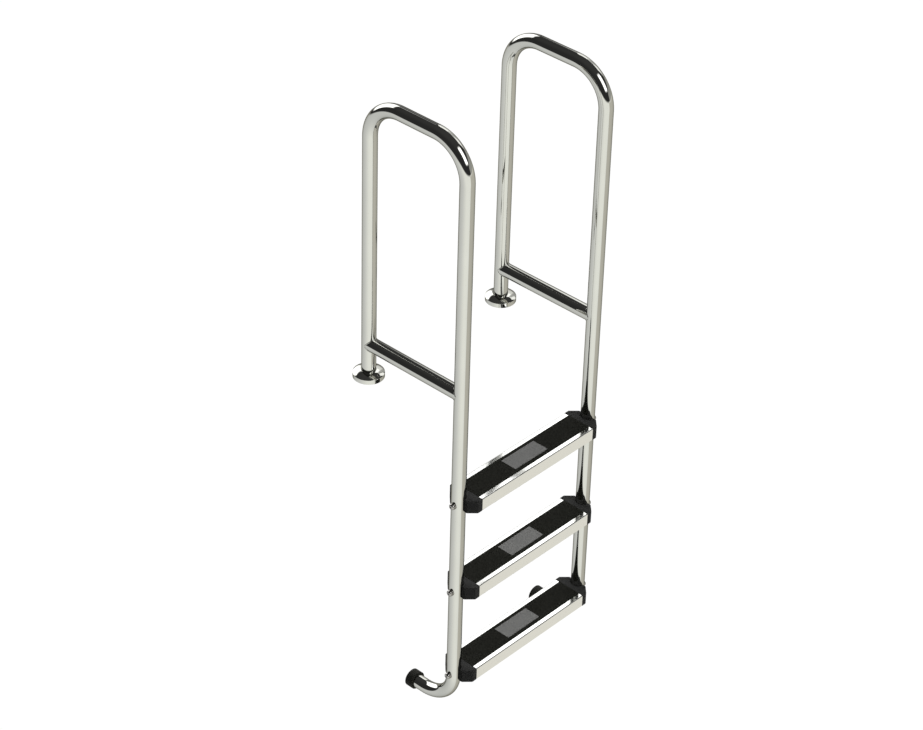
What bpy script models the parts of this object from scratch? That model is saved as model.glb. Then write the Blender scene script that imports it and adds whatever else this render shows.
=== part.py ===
"""Pool ladder: two bent tube side rails joined by three treads, with deck plates and wall bumpers.

Units are metres. +Z is up and z = 0 is the pool deck. +X runs from the left rail to the right rail, as seen
by a person in the pool who faces the ladder. +Y runs from the pool towards the deck. The origin is on the
deck, midway between the two base plates.
"""

import math

import bmesh
import bpy
from mathutils import Matrix, Vector

# ---------------------------------------------------------------- driving dimensions
FIT_GAP = 0.0003                    # clearance kept between pieces that touch on the real ladder
CUT_MARGIN = 0.0050                 # how far a cutter runs past the surface that it opens
MERGE_DISTANCE = 0.000001
SMOOTH_ANGLE = math.radians(35)     # edges sharper than this stay crisp

TUBE_RADIUS = 0.0200
TUBE_WALL = 0.0015
BEND_RADIUS = 0.1060                # to the middle of the tube, the same for all three bends
RAIL_SPACING = 0.5166               # between the axes of the two rails
POST_SPACING = 0.3340               # between the axes of a rail's deck post and pool post
HANDRAIL_HEIGHT = 0.8404            # axis of the handrail above the deck
BRACE_HEIGHT = 0.1054               # axis of the cross brace above the deck
STUB_DEPTH = 0.9458                 # axis of the stub below the deck
STUB_LENGTH = 0.1515                # pool post axis to the end of the stub

PLATE_RADIUS = 0.0380
PLATE_THICKNESS = 0.0060
PLATE_HOLE_RADIUS = 0.0045
PLATE_HOLE_CIRCLE = 0.0290          # radius of the circle that the fixing holes lie on
PLATE_HOLE_COUNT = 3

COVER_RADIUS = 0.0432
COVER_RIM_HEIGHT = 0.0128           # where the rounded edge between the rim and the cone starts
COVER_CONE_SLOPE = 38               # degrees from level
COVER_CROWN_SLOPE = 5               # the crown flattens to this slope at the post
COVER_CROWN_RADIUS = 0.0395
COVER_WALL = 0.0014
COVER_COLLAR_WIDTH = 0.0006         # flat ring around the post at the top of the crown
COVER_POST_CLEARANCE = 0.0005

BUMPER_RADIUS = 0.0261
BUMPER_LENGTH = 0.0255
BUMPER_END_WALL = 0.0077
BUMPER_EDGE_RADIUS = 0.0018

TREAD_COUNT = 3
TREAD_PITCH = 0.2937
FIRST_TREAD_DEPTH = 0.2219          # deck level down to the top of the first mat
TRAY_HALF_LENGTH = 0.2205
TRAY_HALF_WIDTH = 0.0517
TRAY_TOP = -0.0019                  # heights in a tread are measured from the top of its mat
TRAY_BOTTOM = -0.0406
TRAY_SHEET = 0.0015
TRAY_FOLD_RADIUS = 0.0030           # outside the fold
TRAY_LIP = 0.0120                   # width of the flange folded inwards at the bottom of each side

MAT_HALF_WIDTH = 0.0367
PATCH_HALF_LENGTH = 0.0640
PATCH_HALF_WIDTH = 0.0260
PATCH_THICKNESS = 0.0010
PATCH_PROUD = 0.0002                # how far the patch stands above the mat

CAP_TOP = -0.0005
CAP_BOTTOM = -0.0406
CAP_ARM_REACH = 0.0302              # from the rail's axis to the outside of each arm that holds the post
CAP_CORNER_RADIUS = 0.0050
CAP_CHAMFER_DEGREES = 45
PLUG_LENGTH = 0.0350
PLUG_CLEARANCE = 0.0006
PLUG_WALL = 0.0035
PLUG_BOSS_HALF_WIDTH = 0.0100

BOLT_DEPTH = -0.0213                # the bolt's axis below the top of the mat
BOLT_RADIUS = 0.0040
BOLT_LENGTH = 0.0900                # under the head
BOLT_CLEARANCE = 0.0005
BOLT_HEAD_RADIUS = 0.0088
BOLT_HEAD_HEIGHT = 0.0072
BOLT_HEAD_EDGE = 0.0020             # straight side of the head below its dome
BOLT_HEAD_FLAT_RADIUS = 0.0040
BOLT_SOCKET_ACROSS_FLATS = 0.0050
BOLT_SOCKET_DEPTH = 0.0035
WASHER_RADIUS = 0.0098
WASHER_THICKNESS = 0.0020           # over the middle of the tube
WASHER_CUT_MARGIN = 0.00125         # extra depth of the blank that the tube's curve is cut out of
NUT_ACROSS_FLATS = 0.0130
NUT_THICKNESS = 0.0065
NUT_POCKET_CLEARANCE = 0.0004
NUT_TO_BOLT_END = 0.0035            # thread left showing past the nut

TUBE_SEGMENTS = 20
BEND_STEPS = 8
TURNED_SEGMENTS = 28
HARDWARE_SEGMENTS = 16
CROWN_STEPS = 4
EDGE_STEPS = 3
HEXAGON_SIDES = 6

# ---------------------------------------------------------------- worked out from the above
HALF_SPACING = RAIL_SPACING / 2
POOL_POST_Y = -POST_SPACING
POST_BOTTOM = PLATE_THICKNESS + FIT_GAP
TOP_BEND_START = HANDRAIL_HEIGHT - BEND_RADIUS
LOW_BEND_START = BEND_RADIUS - STUB_DEPTH
SEAT_RADIUS = TUBE_RADIUS + FIT_GAP
BOLT_HOLE_RADIUS = BOLT_RADIUS + BOLT_CLEARANCE
HEAD_SEAT = SEAT_RADIUS + WASHER_THICKNESS + FIT_GAP    # rail's axis out to the underside of a bolt head
TREAD_TOPS = [-FIRST_TREAD_DEPTH - TREAD_PITCH * step for step in range(TREAD_COUNT)]
SIDES = {"left": -1, "right": 1}
QUARTER_TURN = math.pi / 2
FULL_TURN = 2 * math.pi


# ---------------------------------------------------------------- materials
def make_material(name, color, roughness, metallic=0.0):
    material = bpy.data.materials.new(name)
    material.use_nodes = True
    shader = material.node_tree.nodes["Principled BSDF"]
    shader.inputs["Base Color"].default_value = (*color, 1.0)
    shader.inputs["Roughness"].default_value = roughness
    shader.inputs["Metallic"].default_value = metallic
    return material


def polished_steel(name):
    return make_material(name, (0.80, 0.80, 0.79), 0.08, metallic=1.0)


def satin_steel(name):
    return make_material(name, (0.62, 0.62, 0.61), 0.30, metallic=1.0)


def black_plastic(name):
    return make_material(name, (0.030, 0.030, 0.032), 0.45)


def black_rubber(name):
    return make_material(name, (0.022, 0.022, 0.020), 0.70)


def grey_grip(name):
    return make_material(name, (0.150, 0.150, 0.155), 0.80)


# ---------------------------------------------------------------- modelling helpers
def clear_scene():
    for item in list(bpy.data.objects):
        bpy.data.objects.remove(item, do_unlink=True)


def link_object(name, mesh, location, rotation):
    """Turn a finished bmesh into one object of the scene."""
    bmesh.ops.recalc_face_normals(mesh, faces=mesh.faces)
    data = bpy.data.meshes.new(name)
    mesh.to_mesh(data)
    mesh.free()
    item = bpy.data.objects.new(name, data)
    item.location = location
    item.rotation_euler = rotation
    bpy.context.collection.objects.link(item)
    return item


def add_piece(name, mesh, finish, location=(0, 0, 0), rotation=(0, 0, 0)):
    item = link_object(name, mesh, location, rotation)
    item.data.materials.append(finish(name + "_finish"))
    item.data.shade_smooth()
    item.data.set_sharp_from_angle(angle=SMOOTH_ANGLE)
    return item


def combine(item, name, mesh, operation="DIFFERENCE"):
    """Cut item with a mesh given in item's own coordinates, or join the two."""
    tool = link_object(f"{item.name}_{name}", mesh, (0, 0, 0), (0, 0, 0))
    tool.parent = item
    tool.hide_render = True
    tool.display_type = "WIRE"
    modifier = item.modifiers.new(name, "BOOLEAN")
    modifier.operation = operation
    modifier.solver = "EXACT"
    modifier.object = tool


def arc(centre, radius, start_degrees, end_degrees, steps):
    """Points of a round stretch of an outline, both ends included."""
    points = []
    for step in range(steps + 1):
        angle = math.radians(start_degrees + (end_degrees - start_degrees) * step / steps)
        points.append((centre[0] + radius * math.cos(angle), centre[1] + radius * math.sin(angle)))
    return points


def region(faces):
    """Faces with their edges and corners, so that extruding them leaves no face behind inside."""
    edges = {edge for face in faces for edge in face.edges}
    corners = {corner for face in faces for corner in face.verts}
    return list(faces) + list(edges) + list(corners)


def only(kind, items):
    return [item for item in items if isinstance(item, kind)]


def extrude_faces(mesh, faces, offset):
    """Extrude faces along a vector and return the faces at the far end."""
    moved = bmesh.ops.extrude_face_region(mesh, geom=region(faces))["geom"]
    bmesh.ops.translate(mesh, vec=offset, verts=only(bmesh.types.BMVert, moved))
    return only(bmesh.types.BMFace, moved)


def spin_faces(mesh, faces, centre):
    """Sweep faces through a quarter turn about the X direction and return the faces at the far end."""
    swept = bmesh.ops.spin(
        mesh, geom=region(faces), cent=centre, axis=(1, 0, 0), angle=QUARTER_TURN, steps=BEND_STEPS
    )
    return only(bmesh.types.BMFace, swept["geom_last"])


def prism(outline, start, length):
    """A solid with a flat outline in X and Y that runs up Z from start."""
    mesh = bmesh.new()
    corners = [mesh.verts.new((x, y, start)) for x, y in outline]
    extrude_faces(mesh, [mesh.faces.new(corners)], Vector((0, 0, length)))
    return mesh


def box(low, high):
    outline = [(low[0], low[1]), (high[0], low[1]), (high[0], high[1]), (low[0], high[1])]
    return prism(outline, low[2], high[2] - low[2])


def cylinder(radius, start, end, segments):
    """A solid round bar along Z."""
    mesh = bmesh.new()
    place = Matrix.Translation((0, 0, (start + end) / 2))
    bmesh.ops.create_cone(
        mesh,
        cap_ends=True,
        segments=segments,
        radius1=radius,
        radius2=radius,
        depth=end - start,
        matrix=place,
    )
    return mesh


def turn(mesh, axis, angle=QUARTER_TURN):
    bmesh.ops.rotate(mesh, verts=mesh.verts, cent=(0, 0, 0), matrix=Matrix.Rotation(angle, 3, axis))
    return mesh


def hexagon(across_flats, start, end):
    """A hexagonal bar along Z with two of its flats facing along Y."""
    bar = cylinder(across_flats / math.sqrt(3), start, end, HEXAGON_SIDES)
    return turn(bar, "Z", FULL_TURN / HEXAGON_SIDES / 2)


def shift(mesh, offset):
    bmesh.ops.translate(mesh, verts=mesh.verts, vec=offset)
    return mesh


def merge(first, second):
    """Add the second mesh's bodies to the first mesh."""
    data = bpy.data.meshes.new("merged")
    second.to_mesh(data)
    second.free()
    first.from_mesh(data)
    bpy.data.meshes.remove(data)
    return first


def turned(profile, segments):
    """A solid turned about Z from a closed profile of (radius, height) points."""
    mesh = bmesh.new()
    corners = [mesh.verts.new((radius, 0, height)) for radius, height in profile]
    edges = [mesh.edges.new((corners[index - 1], corners[index])) for index in range(len(corners))]
    bmesh.ops.spin(
        mesh, geom=corners + edges, cent=(0, 0, 0), axis=(0, 0, 1), angle=FULL_TURN, steps=segments
    )
    bmesh.ops.remove_doubles(mesh, verts=mesh.verts, dist=MERGE_DISTANCE)
    return mesh


def tube_end(mesh, centre, normal_axis_turn):
    """The ring of wall at the end of the tube, facing up before it is turned about X."""
    rings = []
    place = Matrix.Translation(centre) @ Matrix.Rotation(normal_axis_turn, 4, "X")
    for radius in (TUBE_RADIUS, TUBE_RADIUS - TUBE_WALL):
        circle = bmesh.ops.create_circle(mesh, segments=TUBE_SEGMENTS, radius=radius, matrix=place)
        rings.append({edge for vert in circle["verts"] for edge in vert.link_edges})
    return bmesh.ops.bridge_loops(mesh, edges=list(rings[0] | rings[1]))["faces"]


# ---------------------------------------------------------------- side rails
def rail_mesh():
    """One tube, bent three times in the plane x = 0, from the deck plate to the open end of the stub."""
    straights = [
        Vector((0, 0, TOP_BEND_START - POST_BOTTOM)),
        Vector((0, 2 * BEND_RADIUS - POST_SPACING, 0)),
        Vector((0, 0, LOW_BEND_START - TOP_BEND_START)),
    ]
    bend_centres = [
        (0, -BEND_RADIUS, TOP_BEND_START),
        (0, POOL_POST_Y + BEND_RADIUS, TOP_BEND_START),
        (0, POOL_POST_Y + BEND_RADIUS, LOW_BEND_START),
    ]
    mesh = bmesh.new()
    faces = tube_end(mesh, (0, 0, POST_BOTTOM), 0)
    for straight, centre in zip(straights, bend_centres):
        faces = extrude_faces(mesh, faces, straight)
        faces = spin_faces(mesh, faces, centre)
    extrude_faces(mesh, faces, Vector((0, STUB_LENGTH - BEND_RADIUS, 0)))
    return mesh


def bolt_hole_cutter():
    """A bar through both walls of the pool post for the bolt of each tread."""
    bars = bmesh.new()
    reach = TUBE_RADIUS + CUT_MARGIN
    for tread_top in TREAD_TOPS:
        bar = turn(cylinder(BOLT_HOLE_RADIUS, -reach, reach, HARDWARE_SEGMENTS), "Y")
        merge(bars, shift(bar, (0, POOL_POST_Y, tread_top + BOLT_DEPTH)))
    return bars


def brace_mesh():
    """A tube that runs from axis to axis of the two posts, before its ends are coped."""
    mesh = bmesh.new()
    faces = tube_end(mesh, (0, 0, BRACE_HEIGHT), QUARTER_TURN)
    extrude_faces(mesh, faces, Vector((0, -POST_SPACING, 0)))
    return mesh


def post_cutter(y):
    """The room that a post takes out of a brace."""
    reach = TUBE_RADIUS + CUT_MARGIN
    post = cylinder(SEAT_RADIUS, BRACE_HEIGHT - reach, BRACE_HEIGHT + reach, TUBE_SEGMENTS)
    return shift(post, (0, y, 0))


def add_rail(side, x):
    rail = add_piece(f"{side}_side_rail", rail_mesh(), polished_steel, (x, 0, 0))
    combine(rail, "bolt_holes", bolt_hole_cutter())
    brace = add_piece(f"{side}_cross_brace", brace_mesh(), polished_steel, (x, 0, 0))
    combine(brace, "deck_post", post_cutter(0))
    combine(brace, "pool_post", post_cutter(POOL_POST_Y))


# ---------------------------------------------------------------- feet on the deck
def add_base_plate(side, x):
    """The disc that the deck post is welded to, with holes for the deck fixings."""
    disc = cylinder(PLATE_RADIUS, 0, PLATE_THICKNESS, TURNED_SEGMENTS)
    plate = add_piece(f"{side}_base_plate", disc, satin_steel, (x, 0, 0))
    holes = bmesh.new()
    for index in range(PLATE_HOLE_COUNT):
        angle = QUARTER_TURN + FULL_TURN * index / PLATE_HOLE_COUNT
        place = (PLATE_HOLE_CIRCLE * math.cos(angle), PLATE_HOLE_CIRCLE * math.sin(angle), 0)
        hole = cylinder(PLATE_HOLE_RADIUS, -CUT_MARGIN, PLATE_THICKNESS + CUT_MARGIN, HARDWARE_SEGMENTS)
        merge(holes, shift(hole, place))
    combine(plate, "fixing_holes", holes)


def add_flange_cover(side, x):
    """The cover that stands on the deck around the post: an upright rim, a cone and a rounded crown."""
    bore = TUBE_RADIUS + COVER_POST_CLEARANCE
    cone_angle = 90 - COVER_CONE_SLOPE
    crown_angle = 90 - COVER_CROWN_SLOPE
    inner_corner = (COVER_RADIUS - COVER_WALL, COVER_RIM_HEIGHT)
    edge = arc(inner_corner, COVER_WALL, 0, cone_angle, EDGE_STEPS)
    crown_centre_radius = bore + COVER_COLLAR_WIDTH - COVER_CROWN_RADIUS * math.cos(math.radians(crown_angle))
    crown_start_radius = crown_centre_radius + COVER_CROWN_RADIUS * math.cos(math.radians(cone_angle))
    edge_end_radius, edge_end_height = edge[-1]
    cone_height = (edge_end_radius - crown_start_radius) * math.tan(math.radians(COVER_CONE_SLOPE))
    crown_start_height = edge_end_height + cone_height
    crown_centre_height = crown_start_height - COVER_CROWN_RADIUS * math.sin(math.radians(cone_angle))
    crown_centre = (crown_centre_radius, crown_centre_height)
    outside = arc(crown_centre, COVER_CROWN_RADIUS, cone_angle, crown_angle, CROWN_STEPS)
    inside = arc(crown_centre, COVER_CROWN_RADIUS - COVER_WALL, crown_angle, cone_angle, CROWN_STEPS)
    top = outside[-1][1]
    profile = [(COVER_RADIUS, FIT_GAP)] + edge + outside
    profile += [(bore, top), (bore, top - COVER_WALL)] + inside
    profile += [inner_corner, (COVER_RADIUS - COVER_WALL, FIT_GAP)]
    add_piece(f"{side}_flange_cover", turned(profile, TURNED_SEGMENTS), polished_steel, (x, 0, 0))


# ---------------------------------------------------------------- wall bumpers
def add_bumper(side, x):
    """A rubber cap pushed over the end of the stub, which rests against the pool wall."""
    depth = BUMPER_LENGTH - BUMPER_END_WALL
    edge_centre = (BUMPER_RADIUS - BUMPER_EDGE_RADIUS, BUMPER_LENGTH - BUMPER_EDGE_RADIUS)
    profile = [(0, depth), (SEAT_RADIUS, depth), (SEAT_RADIUS, 0), (BUMPER_RADIUS, 0)]
    profile += arc(edge_centre, BUMPER_EDGE_RADIUS, 0, 90, EDGE_STEPS) + [(0, BUMPER_LENGTH)]
    mouth_y = POOL_POST_Y + STUB_LENGTH + FIT_GAP - depth
    place = (x, mouth_y, -STUB_DEPTH)
    facing_deck = (-QUARTER_TURN, 0, 0)
    add_piece(f"{side}_wall_bumper", turned(profile, TUBE_SEGMENTS), black_rubber, place, facing_deck)


# ---------------------------------------------------------------- treads
def tray_outline():
    """The section of the folded steel tray, in Y and Z, open between its two lips."""
    side = TRAY_HALF_WIDTH
    fold = TRAY_FOLD_RADIUS
    upper = (side - fold, TRAY_TOP - fold)
    lower = (side - fold, TRAY_BOTTOM + fold)
    inner_fold = fold - TRAY_SHEET
    right = arc(upper, fold, 90, 0, EDGE_STEPS) + arc(lower, fold, 0, -90, EDGE_STEPS)
    right += [(side - TRAY_LIP, TRAY_BOTTOM), (side - TRAY_LIP, TRAY_BOTTOM + TRAY_SHEET)]
    right += arc(lower, inner_fold, -90, 0, EDGE_STEPS) + arc(upper, inner_fold, 0, 90, EDGE_STEPS)
    left = [(-y, z) for y, z in reversed(right)]
    return right + left


def tray_mesh():
    """The tray lies along X: its section is drawn in X and Y, then turned up and round."""
    mesh = prism(tray_outline(), -TRAY_HALF_LENGTH, 2 * TRAY_HALF_LENGTH)
    return turn(turn(mesh, "X"), "Z")


def mat_mesh():
    return box(
        (-TRAY_HALF_LENGTH, -MAT_HALF_WIDTH, TRAY_TOP + FIT_GAP), (TRAY_HALF_LENGTH, MAT_HALF_WIDTH, 0)
    )


def patch_recess():
    """The shallow pocket in the mat that the centre patch is glued into."""
    length = PATCH_HALF_LENGTH + FIT_GAP
    width = PATCH_HALF_WIDTH + FIT_GAP
    floor = PATCH_PROUD - PATCH_THICKNESS - FIT_GAP
    return box((-length, -width, floor), (length, width, CUT_MARGIN))


def patch_mesh():
    return box(
        (-PATCH_HALF_LENGTH, -PATCH_HALF_WIDTH, PATCH_PROUD - PATCH_THICKNESS),
        (PATCH_HALF_LENGTH, PATCH_HALF_WIDTH, PATCH_PROUD),
    )


def cap_outline():
    """The plan of an end cap: square to the tray, then chamfered, with arms around half the post."""
    face = TRAY_HALF_LENGTH + FIT_GAP
    side = TRAY_HALF_WIDTH
    chamfer_x = HALF_SPACING - (side - CAP_ARM_REACH) / math.tan(math.radians(CAP_CHAMFER_DEGREES))
    tangent = CAP_CORNER_RADIUS * math.tan(math.radians(CAP_CHAMFER_DEGREES) / 2)
    corner = (chamfer_x - tangent, CAP_CORNER_RADIUS - side)
    front = [(face, -side)] + arc(corner, CAP_CORNER_RADIUS, -90, -CAP_CHAMFER_DEGREES, EDGE_STEPS)
    front += [(HALF_SPACING, -CAP_ARM_REACH)]
    back = [(x, -y) for x, y in reversed(front)]
    return front + arc((HALF_SPACING, 0), SEAT_RADIUS, -90, -270, TUBE_SEGMENTS // 2) + back


def relieve_for_bend(cap, tread_top, sign):
    """Ease the deck side of a cap's seat where the post below it has begun to bend into the stub."""
    depth = LOW_BEND_START - (tread_top + CAP_BOTTOM)
    if depth <= 0:
        return
    drift = depth * math.tan(QUARTER_TURN / BEND_STEPS / 2)
    post = cylinder(SEAT_RADIUS, CAP_BOTTOM - CUT_MARGIN, CAP_BOTTOM + depth, TUBE_SEGMENTS)
    combine(cap, "bend_relief", shift(post, (HALF_SPACING, sign * drift, 0)))


def add_end_cap(name, place, spin):
    """A moulded cap whose plug slides into the tray, with the bolt hole and a slot for the nut below it."""
    inside = TRAY_SHEET + PLUG_CLEARANCE
    plug_end = TRAY_HALF_LENGTH - PLUG_LENGTH
    plug_side = TRAY_HALF_WIDTH - inside
    plug_top = TRAY_TOP - inside
    plug_bottom = TRAY_BOTTOM + inside
    overlap = CUT_MARGIN
    body = prism(cap_outline(), CAP_BOTTOM, CAP_TOP - CAP_BOTTOM)
    cap = add_piece(name, body, black_plastic, place, spin)
    plug = box((plug_end, -plug_side, plug_bottom), (TRAY_HALF_LENGTH + overlap, plug_side, plug_top))
    combine(cap, "plug", plug, "UNION")

    cores = bmesh.new()
    for sign in (-1, 1):
        near = sign * PLUG_BOSS_HALF_WIDTH
        far = sign * (plug_side - PLUG_WALL)
        low = (plug_end - CUT_MARGIN, min(near, far), plug_bottom + PLUG_WALL)
        high = (TRAY_HALF_LENGTH - PLUG_WALL, max(near, far), plug_top - PLUG_WALL)
        merge(cores, box(low, high))
    combine(cap, "cores", cores)

    bore = cylinder(BOLT_HOLE_RADIUS, plug_end - CUT_MARGIN, HALF_SPACING, HARDWARE_SEGMENTS)
    combine(cap, "bolt_hole", shift(turn(bore, "Y"), (0, 0, BOLT_DEPTH)))

    slot_side = NUT_ACROSS_FLATS / 2 + NUT_POCKET_CLEARANCE
    slot_top = BOLT_DEPTH + NUT_ACROSS_FLATS / math.sqrt(3) + NUT_POCKET_CLEARANCE
    slot_start = nut_start() - NUT_POCKET_CLEARANCE
    slot_end = nut_start() + NUT_THICKNESS + NUT_POCKET_CLEARANCE
    slot = box((slot_start, -slot_side, plug_bottom - CUT_MARGIN), (slot_end, slot_side, slot_top))
    combine(cap, "nut_slot", slot)
    return cap


# ---------------------------------------------------------------- tread bolts
def nut_start():
    """Where the inner face of a nut lies, measured along X from the middle of its tread."""
    return HALF_SPACING + HEAD_SEAT - BOLT_LENGTH + NUT_TO_BOLT_END


def bolt_mesh():
    """A domed bolt along Z with the underside of its head at z = 0."""
    profile = [(0, -BOLT_LENGTH), (BOLT_RADIUS, -BOLT_LENGTH), (BOLT_RADIUS, 0), (BOLT_HEAD_RADIUS, 0)]
    crown = BOLT_HEAD_HEIGHT - BOLT_HEAD_EDGE
    for step in range(EDGE_STEPS + 1):
        angle = QUARTER_TURN * step / EDGE_STEPS
        radius = BOLT_HEAD_FLAT_RADIUS + (BOLT_HEAD_RADIUS - BOLT_HEAD_FLAT_RADIUS) * math.cos(angle)
        profile.append((radius, BOLT_HEAD_EDGE + crown * math.sin(angle)))
    profile.append((0, BOLT_HEAD_HEIGHT))
    return turned(profile, HARDWARE_SEGMENTS)


def washer_mesh():
    """A round washer along Z, deep enough for its underside to be cut to the curve of the tube."""
    tube_drop = TUBE_RADIUS - math.sqrt(TUBE_RADIUS**2 - WASHER_RADIUS**2)
    bottom = -(WASHER_THICKNESS + tube_drop + WASHER_CUT_MARGIN)
    bore = BOLT_HOLE_RADIUS
    profile = [(bore, bottom), (WASHER_RADIUS, bottom), (WASHER_RADIUS, 0), (bore, 0)]
    return turned(profile, HARDWARE_SEGMENTS)


def add_tread_fasteners(prefix, place, spin):
    """Bolt, saddle washer and nut at the +X end of a tread, all on the axis at BOLT_DEPTH."""
    axis_start = (HALF_SPACING + HEAD_SEAT, 0, BOLT_DEPTH)
    bolt = shift(turn(bolt_mesh(), "Y"), axis_start)
    bolt = add_piece(prefix + "bolt", bolt, satin_steel, place, spin)
    socket_floor = BOLT_HEAD_HEIGHT - BOLT_SOCKET_DEPTH
    socket = hexagon(BOLT_SOCKET_ACROSS_FLATS, socket_floor, BOLT_HEAD_HEIGHT + CUT_MARGIN)
    combine(bolt, "socket", shift(turn(socket, "Y"), axis_start))

    washer_face = (HALF_SPACING + HEAD_SEAT - FIT_GAP, 0, BOLT_DEPTH)
    washer = turn(washer_mesh(), "Y")
    washer = add_piece(prefix + "saddle_washer", shift(washer, washer_face), satin_steel, place, spin)
    reach = WASHER_RADIUS + CUT_MARGIN
    post = cylinder(SEAT_RADIUS, BOLT_DEPTH - reach, BOLT_DEPTH + reach, TUBE_SEGMENTS)
    combine(washer, "post", shift(post, (HALF_SPACING, 0, 0)))

    nut = turn(hexagon(NUT_ACROSS_FLATS, 0, NUT_THICKNESS), "Y")
    nut = add_piece(prefix + "nut", shift(nut, (nut_start(), 0, BOLT_DEPTH)), satin_steel, place, spin)
    thread = cylinder(BOLT_HOLE_RADIUS, -CUT_MARGIN, NUT_THICKNESS + CUT_MARGIN, HARDWARE_SEGMENTS)
    combine(nut, "thread", shift(turn(thread, "Y"), (nut_start(), 0, BOLT_DEPTH)))


def add_tread(number, tread_top):
    """One tread, modelled about its middle. Its left end is its right end turned round."""
    place = (0, POOL_POST_Y, tread_top)
    prefix = f"tread_{number}_"
    add_piece(prefix + "tray", tray_mesh(), polished_steel, place)
    mat = add_piece(prefix + "mat", mat_mesh(), black_rubber, place)
    combine(mat, "patch_recess", patch_recess())
    add_piece(prefix + "centre_patch", patch_mesh(), grey_grip, place)
    for side, sign in SIDES.items():
        spin = (0, 0, 0 if sign > 0 else math.pi)
        cap = add_end_cap(f"{prefix}{side}_end_cap", place, spin)
        relieve_for_bend(cap, tread_top, sign)
        add_tread_fasteners(f"{prefix}{side}_", place, spin)


def build():
    clear_scene()
    for side, sign in SIDES.items():
        x = sign * HALF_SPACING
        add_rail(side, x)
        add_base_plate(side, x)
        add_flange_cover(side, x)
        add_bumper(side, x)
    for index, tread_top in enumerate(TREAD_TOPS):
        add_tread(index + 1, tread_top)


build()
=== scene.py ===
import math

import bmesh
import bpy
from mathutils import Matrix, Vector, noise


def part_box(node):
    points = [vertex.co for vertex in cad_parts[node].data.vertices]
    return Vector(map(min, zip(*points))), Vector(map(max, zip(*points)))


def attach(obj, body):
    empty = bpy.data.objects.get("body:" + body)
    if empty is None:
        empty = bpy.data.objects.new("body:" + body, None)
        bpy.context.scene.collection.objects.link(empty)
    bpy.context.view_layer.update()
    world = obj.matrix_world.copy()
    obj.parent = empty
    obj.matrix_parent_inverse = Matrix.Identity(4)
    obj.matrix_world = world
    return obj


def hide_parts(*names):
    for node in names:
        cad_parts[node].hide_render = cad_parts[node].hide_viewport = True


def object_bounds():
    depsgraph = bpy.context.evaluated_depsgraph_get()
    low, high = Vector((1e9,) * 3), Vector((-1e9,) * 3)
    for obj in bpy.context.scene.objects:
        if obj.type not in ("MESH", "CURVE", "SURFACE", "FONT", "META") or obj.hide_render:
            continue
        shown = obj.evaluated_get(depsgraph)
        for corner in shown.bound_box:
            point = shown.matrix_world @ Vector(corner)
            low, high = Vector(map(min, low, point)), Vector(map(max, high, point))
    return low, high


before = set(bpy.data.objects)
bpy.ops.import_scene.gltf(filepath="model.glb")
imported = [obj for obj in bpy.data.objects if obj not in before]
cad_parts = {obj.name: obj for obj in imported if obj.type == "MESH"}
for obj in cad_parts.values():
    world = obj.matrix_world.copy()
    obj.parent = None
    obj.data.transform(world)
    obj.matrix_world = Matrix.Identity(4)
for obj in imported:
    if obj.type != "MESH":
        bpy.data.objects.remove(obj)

cad_low, cad_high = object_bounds()

# ---------------------------------------------------------------- the view and the studio
CAMERA_PLACE = (-4.6118, -4.2853, 4.3019)
CAMERA_AZIMUTH = -47.750            # degrees; 0 looks along +Y and 90 along -X
CAMERA_ELEVATION = 34.907
CAMERA_ROLL = 1.634
CAMERA_LENS = 109.94                # millimetres, like the sensor's width
SENSOR_WIDTH = 36

BACKDROP_RADIUS = 30.0
BACKDROP_LIGHT = 1.02
DOME_SEGMENTS = 48
DOME_RINGS = 24
FLOOR_DROP = 0.0005                 # the floor lies this far under the lowest bumper

# The studio's light. Azimuths are degrees from +Y towards +X; colours are linear.
ROOM_WALL = (0.035, 0.035, 0.035)
ROOM_CEILING = (0.055, 0.055, 0.054)
CEILING_START = 0.45                # sine of the elevation where the walls begin to turn into the ceiling
FLOOR_DIM = (0.87, 0.88, 0.86)
FLOOR_BRIGHT = (1.235, 1.245, 1.17)
FLOOR_BRIGHT_AZIMUTH = -145
FLOOR_BRIGHT_BASE = 0.20            # brightness at right angles to that azimuth, before it is squared
FLOOR_BRIGHT_GAIN = 0.98
FLOOR_WARM = (0.73, 0.71, 0.63)     # the half of the floor that is lit by warmer light
FLOOR_WARM_AZIMUTH = 89
FLOOR_WARM_SOFTNESS = 0.02
FLOOR_DIFFUSE_SHARE = 0.07          # how much of the floor's light reaches matt surfaces
HORIZON_UP = 0.07
HORIZON_DROP = 0.14
HORIZON_SOFTNESS = 0.05
HORIZON_LOW_AZIMUTH = -30
HORIZON_LOW_START = 0.3             # cosine of the angle from that azimuth where the horizon starts to drop
PANEL_NEAREST = 0.001               # keeps the division by depth away from zero
PANEL_FADE = 0.1                    # a panel fades out over this depth, so that it has no twin behind
# Each panel: azimuth, elevation, half width, half height, softness of its edge, colour. Sizes are for a
# panel at a distance of 1, and a later panel covers an earlier one.
PANELS = [
    (110, 4, 1.40, 0.30, 0.12, (0.45, 0.45, 0.42)),
    (78, 34, 0.45, 0.25, 0.02, (1.50, 1.50, 1.46)),
    (41, 12, 0.20, 0.24, 0.06, (0.42, 0.42, 0.41)),
    (72, 24, 0.24, 0.40, 0.06, (0.62, 0.62, 0.60)),
    (64, 24, 0.14, 0.30, 0.05, (1.20, 1.20, 1.16)),
    (59, 41, 0.155, 0.13, 0.015, (1.90, 1.90, 1.85)),
    (150, -6, 0.55, 0.05, 0.04, (1.45, 1.44, 1.36)),
    (11, 20, 0.42, 0.42, 0.08, (3.00, 3.00, 2.96)),
    (178, 39, 0.30, 0.34, 0.08, (3.00, 3.00, 2.96)),
]

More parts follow.
